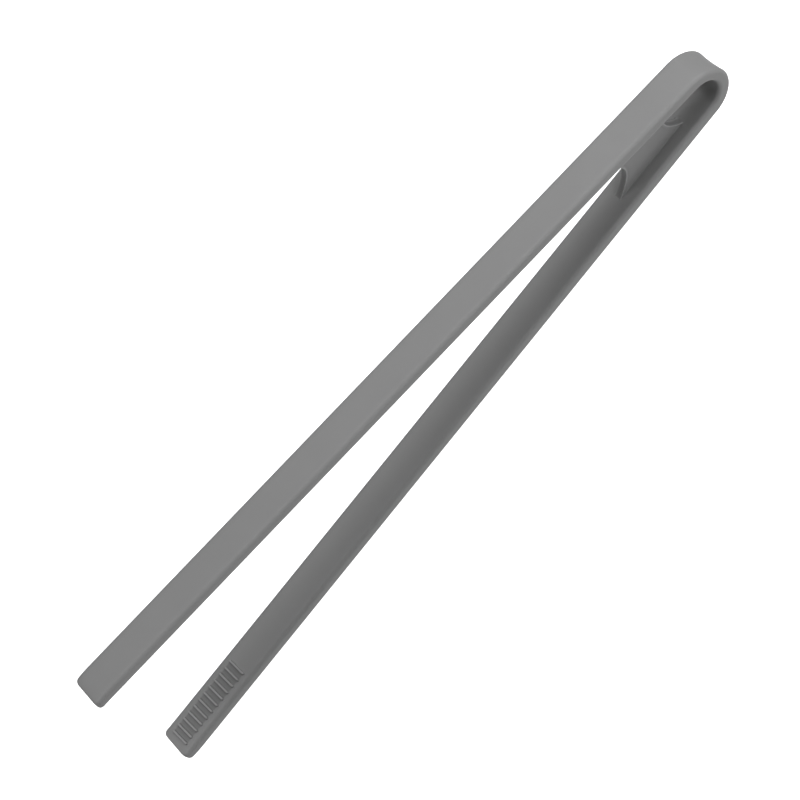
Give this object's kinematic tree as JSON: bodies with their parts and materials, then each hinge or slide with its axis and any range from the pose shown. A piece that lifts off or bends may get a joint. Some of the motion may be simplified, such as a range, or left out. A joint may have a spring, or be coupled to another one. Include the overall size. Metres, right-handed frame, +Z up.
{
  "type": "kitchen tongs",
  "caption": "Slim U-shaped spring tongs: a bent steel strip moulded over with grey silicone, ribbed grip tips and a web that closes the bend into a hanging loop.",
  "frame": {"origin": "on the surface that the lower arm lies on, under the middle of the whole tongs", "axes": "+X from the bend to the tips, +Y across the width, +Z up from the lower arm's outer face to the upper arm"},
  "size_m": [0.2916, 0.0134, 0.0671],
  "materials": {
    "silicone": "matte grey moulded silicone with a faint satin sheen",
    "spring_steel": "rolled spring steel, covered by the silicone"
  },
  "bodies": {
    "head": {"bend_jacket": "silicone", "bend_strip": "spring_steel", "loop_web": "silicone"},
    "upper_arm": {"upper_arm_jacket": "silicone", "upper_arm_strip": "spring_steel"},
    "lower_arm": {"lower_arm_jacket": "silicone", "lower_arm_strip": "spring_steel"}
  },
  "joints": [
    {"name": "upper_arm_flex", "type": "hinge", "parent": "head", "child": "upper_arm", "pos_m": [-0.07834, 0, 0.03011], "axis": [0, 1, 0], "range_deg": [-3, 7.4], "stiffness_Nm_per_rad": 3.5},
    {"name": "lower_arm_flex", "type": "hinge", "parent": "head", "child": "lower_arm", "pos_m": [-0.07612, 0, 0.0024], "axis": [0, -1, 0], "range_deg": [-3, 7.4], "stiffness_Nm_per_rad": 3.5}
  ]
}
